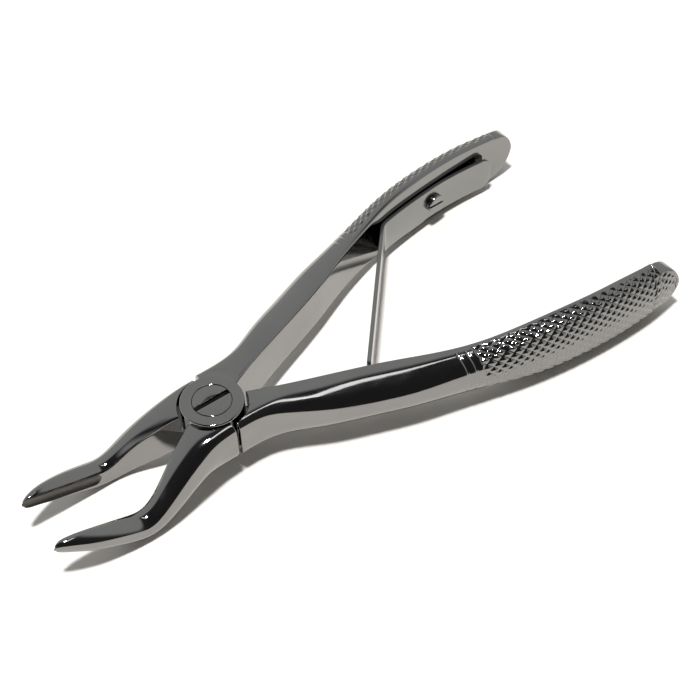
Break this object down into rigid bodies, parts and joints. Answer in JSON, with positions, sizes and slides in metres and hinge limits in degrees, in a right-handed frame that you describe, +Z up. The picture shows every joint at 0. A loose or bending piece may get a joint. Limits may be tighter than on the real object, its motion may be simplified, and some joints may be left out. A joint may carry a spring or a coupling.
{
  "type": "dental extraction forceps",
  "caption": "Spring-handle extraction forceps: crossed halves on a lap joint, bayonet beaks with hollowed tips, leaf spring between the handles.",
  "frame": {"origin": "where the pivot axis leaves the joint's flat underside", "axes": "+Z up along the pivot axis towards the slotted screw head, +X along the mid-line towards the handles' ends, beaks towards -X"},
  "size_m": [0.1236, 0.0544, 0.0162],
  "materials": {
    "polished_steel": "mirror-polished stainless steel",
    "screw_steel": "polished stainless steel with turned faces",
    "spring_steel": "polished spring strip with a fine lengthwise grain"
  },
  "bodies": {
    "upper": {"upper_half": "polished_steel", "leaf_spring": "spring_steel", "spring_screw": "screw_steel"},
    "lower": {"lower_half": "polished_steel", "pivot_screw": "screw_steel"},
    "blade": {"leaf_spring_blade": "spring_steel"}
  },
  "joints": [
    {"name": "pivot", "type": "hinge", "parent": "upper", "child": "lower", "pos_m": [0, 0, 0.0042], "axis": [0, 0, 1], "range_deg": [-3.5, 16.5], "stiffness_Nm_per_rad": 1.2},
    {"name": "spring_bend", "type": "hinge", "parent": "upper", "child": "blade", "pos_m": [0.05151, 0.01873, 0.0032], "axis": [0, 0, 1], "range_deg": [-22, 5]}
  ],
  "couplings": [
    {"joint": "spring_bend", "follows": "pivot", "ratio": -1.3}
  ]
}
